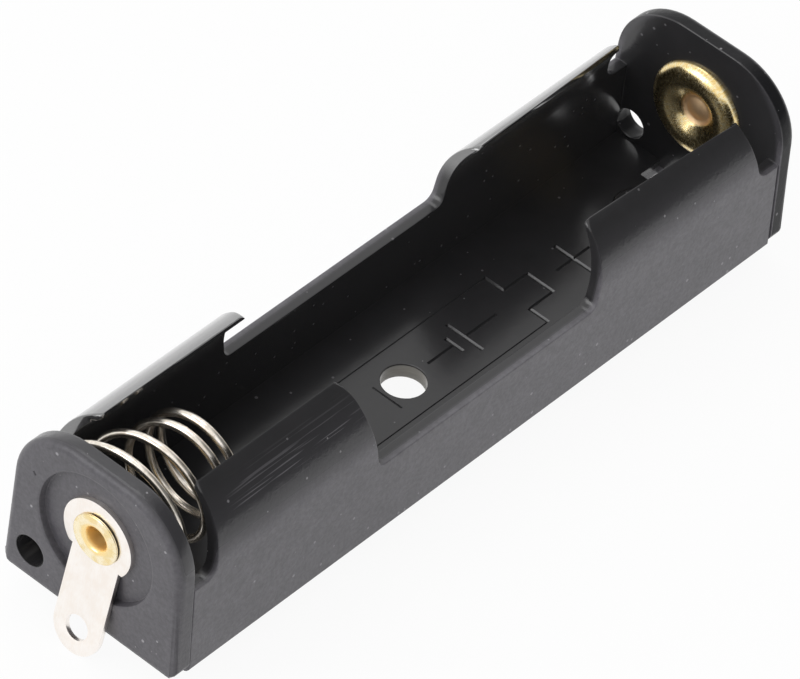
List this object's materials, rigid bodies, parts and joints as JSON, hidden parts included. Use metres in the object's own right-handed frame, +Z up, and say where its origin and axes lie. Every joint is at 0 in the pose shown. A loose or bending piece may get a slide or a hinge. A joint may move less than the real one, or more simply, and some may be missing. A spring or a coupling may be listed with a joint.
{
  "type": "cylindrical cell holder",
  "caption": "Moulded trough for one small cylindrical cell, with curled side walls, a coil spring, a contact button and a solder lug at each end.",
  "frame": {"origin": "middle of the floor's mounting hole, on the underside of the moulded body", "axes": "+X along the cell towards its positive end, +Y to the side of the end plates' wire holes, +Z up out of the trough"},
  "size_m": [0.0544, 0.013, 0.0133],
  "materials": {
    "body_plastic": "black moulded plastic, satin outside and glossier inside",
    "spring_nickel": "nickel-plated spring wire",
    "lug_nickel": "tinned sheet, pale satin",
    "rivet_brass": "pale gold plated brass"
  },
  "bodies": {
    "holder": {"holder_body": "body_plastic", "negative_eyelet": "rivet_brass", "negative_lug": "lug_nickel", "positive_contact": "rivet_brass", "positive_lug": "lug_nickel"},
    "spring": {"negative_spring": "spring_nickel"}
  },
  "joints": [
    {"name": "spring_press", "type": "slide", "parent": "holder", "child": "spring", "axis": [-1, 0, 0], "range_m": [0, 0.0045], "stiffness_N_per_m": 300, "deforming": ["negative_spring"]}
  ]
}
